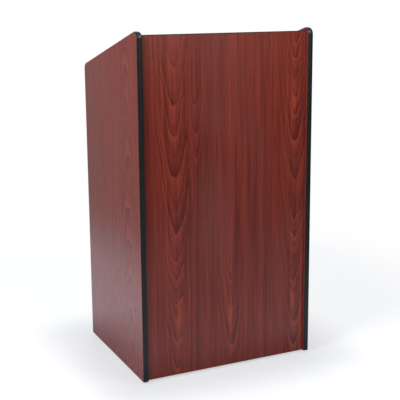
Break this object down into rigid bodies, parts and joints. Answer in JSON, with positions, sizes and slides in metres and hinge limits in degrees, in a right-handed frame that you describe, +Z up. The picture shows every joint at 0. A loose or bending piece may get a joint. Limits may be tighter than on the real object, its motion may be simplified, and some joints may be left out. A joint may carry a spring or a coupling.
{
  "type": "presentation lectern",
  "caption": "Floor-standing lectern of wood-grain laminated board edged in black T-moulding, with a slanted reading surface, open shelves behind and hidden casters.",
  "frame": {"origin": "on the floor, at the middle of the footprint (the bottom centre of the bounding box, under the wheels)", "axes": "+Z up; the audience stands towards -Y and the presenter towards +Y; +X to the right as the audience sees it"},
  "size_m": [0.651, 0.53, 1.1816],
  "materials": {
    "laminate": "satin red mahogany wood-grain laminate on particle board, grain upright",
    "t_moulding": "semi-gloss black vinyl T-moulding with a crowned face",
    "edge_band": "satin black edge band",
    "book_stop": "satin black moulded strip with rounded edges",
    "cam_zinc": "die-cast zinc, dull",
    "plated_steel": "bright zinc-plated steel",
    "caster_steel": "zinc-plated pressed steel",
    "tread": "dark grey thermoplastic rubber",
    "caster_core": "moulded black polypropylene",
    "brake_plastic": "moulded black nylon, fine texture",
    "grommet_plastic": "moulded black plastic, fine texture"
  },
  "bodies": {
    "cabinet": {"side_panel_left": "laminate", "side_panel_right": "laminate", "t_moulding_left": "t_moulding", "t_moulding_right": "t_moulding", "front_panel": "laminate", "front_panel_band": "edge_band", "reading_surface": "laminate", "book_stop": "book_stop", "stop_screw_1": "plated_steel", "stop_screw_2": "plated_steel", "stop_screw_3": "plated_steel", "grommet_liner": "grommet_plastic", "fixed_shelf": "laminate", "fixed_shelf_band": "edge_band", "adjustable_shelf": "laminate", "adjustable_shelf_band": "edge_band", "bottom_panel": "laminate", "bottom_panel_band": "edge_band", "shelf_pin_front_left": "plated_steel", "shelf_pin_front_right": "plated_steel", "shelf_pin_rear_left": "plated_steel", "shelf_pin_rear_right": "plated_steel", "cam_lock_top_1": "cam_zinc", "cam_lock_top_2": "cam_zinc", "cam_lock_top_3": "cam_zinc", "cam_lock_top_4": "cam_zinc", "cam_lock_shelf_1": "cam_zinc", "cam_lock_shelf_2": "cam_zinc", "cam_lock_shelf_3": "cam_zinc", "cam_lock_shelf_4": "cam_zinc", "cam_lock_bottom_1": "cam_zinc", "cam_lock_bottom_2": "cam_zinc", "cam_lock_bottom_3": "cam_zinc", "cam_lock_bottom_4": "cam_zinc", "caster_plate_front_left": "caster_steel", "caster_plate_front_right": "caster_steel", "caster_plate_rear_left": "caster_steel", "caster_plate_rear_right": "caster_steel"},
    "swivel_front_left": {"caster_fork_front_left": "caster_steel", "caster_axle_front_left": "caster_steel"},
    "wheel_front_left": {"caster_core_front_left": "caster_core", "caster_tread_front_left": "tread"},
    "swivel_front_right": {"caster_fork_front_right": "caster_steel", "caster_axle_front_right": "caster_steel"},
    "wheel_front_right": {"caster_core_front_right": "caster_core", "caster_tread_front_right": "tread"},
    "swivel_rear_left": {"caster_fork_rear_left": "caster_steel", "caster_axle_rear_left": "caster_steel"},
    "wheel_rear_left": {"caster_core_rear_left": "caster_core", "caster_tread_rear_left": "tread"},
    "swivel_rear_right": {"caster_fork_rear_right": "caster_steel", "caster_axle_rear_right": "caster_steel"},
    "wheel_rear_right": {"caster_core_rear_right": "caster_core", "caster_tread_rear_right": "tread"},
    "brake_rear_left": {"brake_lever_rear_left": "brake_plastic"},
    "brake_rear_right": {"brake_lever_rear_right": "brake_plastic"},
    "grommet_cap": {"grommet_cap": "grommet_plastic"}
  },
  "joints": [
    {"name": "swivel_front_left_turn", "type": "hinge", "parent": "cabinet", "child": "swivel_front_left", "pos_m": [-0.24, -0.168, 0.0575], "axis": [0, 0, 1], "continuous": true},
    {"name": "wheel_front_left_roll", "type": "hinge", "parent": "swivel_front_left", "child": "wheel_front_left", "pos_m": [-0.24, -0.148, 0.025], "axis": [1, 0, 0], "continuous": true},
    {"name": "swivel_front_right_turn", "type": "hinge", "parent": "cabinet", "child": "swivel_front_right", "pos_m": [0.24, -0.168, 0.0575], "axis": [0, 0, 1], "continuous": true},
    {"name": "wheel_front_right_roll", "type": "hinge", "parent": "swivel_front_right", "child": "wheel_front_right", "pos_m": [0.24, -0.148, 0.025], "axis": [1, 0, 0], "continuous": true},
    {"name": "swivel_rear_left_turn", "type": "hinge", "parent": "cabinet", "child": "swivel_rear_left", "pos_m": [-0.24, 0.18, 0.0575], "axis": [0, 0, 1], "continuous": true},
    {"name": "wheel_rear_left_roll", "type": "hinge", "parent": "swivel_rear_left", "child": "wheel_rear_left", "pos_m": [-0.24, 0.2, 0.025], "axis": [1, 0, 0], "continuous": true},
    {"name": "swivel_rear_right_turn", "type": "hinge", "parent": "cabinet", "child": "swivel_rear_right", "pos_m": [0.24, 0.18, 0.0575], "axis": [0, 0, 1], "continuous": true},
    {"name": "wheel_rear_right_roll", "type": "hinge", "parent": "swivel_rear_right", "child": "wheel_rear_right", "pos_m": [0.24, 0.2, 0.025], "axis": [1, 0, 0], "continuous": true},
    {"name": "brake_rear_left_press", "type": "hinge", "parent": "swivel_rear_left", "child": "brake_rear_left", "pos_m": [-0.24, 0.21, 0.0525], "axis": [-1, 0, 0], "range_deg": [0, 15]},
    {"name": "brake_rear_right_press", "type": "hinge", "parent": "swivel_rear_right", "child": "brake_rear_right", "pos_m": [0.24, 0.21, 0.0525], "axis": [-1, 0, 0], "range_deg": [0, 15]},
    {"name": "grommet_cap_turn", "type": "hinge", "parent": "cabinet", "child": "grommet_cap", "pos_m": [-0.22, -0.16721, 1.14807], "axis": [0, 0.2554, 0.9668], "continuous": true}
  ]
}
